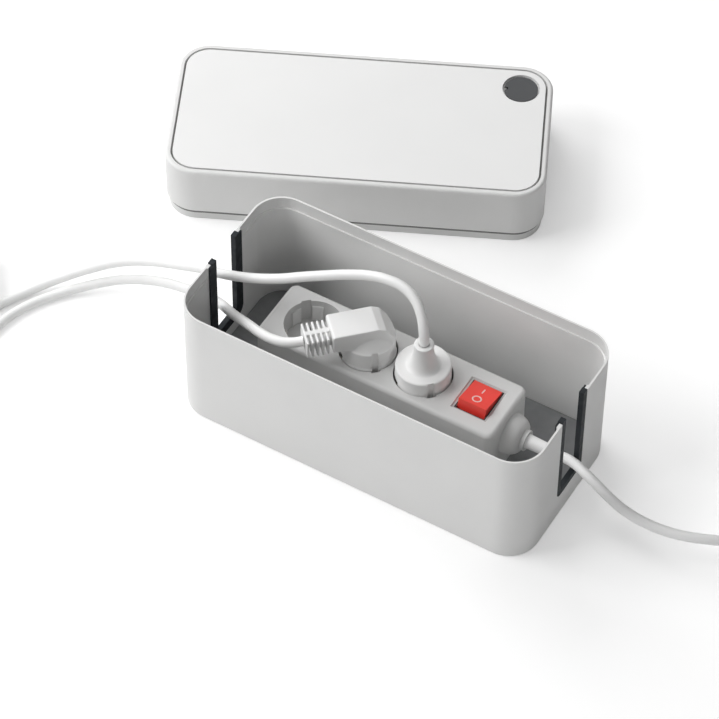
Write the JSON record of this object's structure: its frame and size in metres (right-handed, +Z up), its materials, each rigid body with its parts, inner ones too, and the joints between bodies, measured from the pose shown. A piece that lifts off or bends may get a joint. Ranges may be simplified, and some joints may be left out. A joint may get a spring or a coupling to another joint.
{
  "type": "cable management box",
  "caption": "Open rectangular cable box with cable slots in both ends, its lid lifted off, and a switched socket strip with plugged-in leads inside.",
  "frame": {"origin": "centre of the box's flat underside, on the table", "axes": "+X along the box towards the end where the supply cord leaves, +Y towards the rear where the lid stands, +Z up"},
  "size_m": [0.6554, 0.4691, 0.1061],
  "materials": {
    "body_white": "fine matt moulded plastic",
    "panel_white": "smooth matt plastic",
    "stopper_grey": "satin",
    "trim_dark": "matt",
    "mat_dark": "matt",
    "strip_grey": "satin moulded plastic",
    "switch_grey": "satin",
    "rocker_red": "clear red plastic",
    "plug_white": "satin moulded plastic",
    "cord_white": "smooth soft sheath",
    "tie_dark": "matt",
    "contact_brass": "plain",
    "pin_metal": "nickel-plated",
    "screw_steel": "zinc-plated"
  },
  "bodies": {
    "box": {"box_shell": "body_white", "slot_trim_left": "trim_dark", "slot_trim_right": "trim_dark", "floor_mat": "mat_dark", "strip_base": "strip_grey", "strip_top": "strip_grey", "earth_clip_1": "contact_brass", "earth_clip_2": "contact_brass", "earth_clip_3": "contact_brass", "contact_rail_near": "contact_brass", "contact_rail_far": "contact_brass", "strip_screws": "screw_steel", "switch_frame": "switch_grey", "gland_ring": "strip_grey", "cord_sleeve": "plug_white", "angled_plug": "plug_white", "angled_plug_boot": "plug_white", "angled_plug_pins": "pin_metal", "straight_plug": "plug_white", "straight_plug_pins": "pin_metal", "supply_cord": "cord_white", "supply_coil": "cord_white", "supply_tie": "tie_dark", "supply_plug": "plug_white", "supply_plug_pins": "pin_metal", "lead_a_cord": "cord_white", "lead_a_coil": "cord_white", "lead_a_tie": "tie_dark", "lead_a_connector": "plug_white", "lead_b_cord": "cord_white", "lead_b_coil": "cord_white", "lead_b_tie": "tie_dark", "lead_b_connector": "plug_white"},
    "lid": {"lid_shell": "body_white", "lid_panel": "panel_white"},
    "stopper": {"lid_stopper": "stopper_grey"},
    "rocker": {"rocker": "rocker_red"}
  },
  "joints": [
    {"name": "lid_lift", "type": "slide", "parent": "box", "child": "lid", "axis": [0, 0, 1], "range_m": [0, 0.12]},
    {"name": "stopper_lift", "type": "slide", "parent": "lid", "child": "stopper", "axis": [0, 0, 1], "range_m": [0, 0.012]},
    {"name": "rocker_tilt", "type": "hinge", "parent": "box", "child": "rocker", "pos_m": [0.056, 0.0063, 0.0455], "axis": [1, 0, 0], "range_deg": [0, 24]}
  ]
}
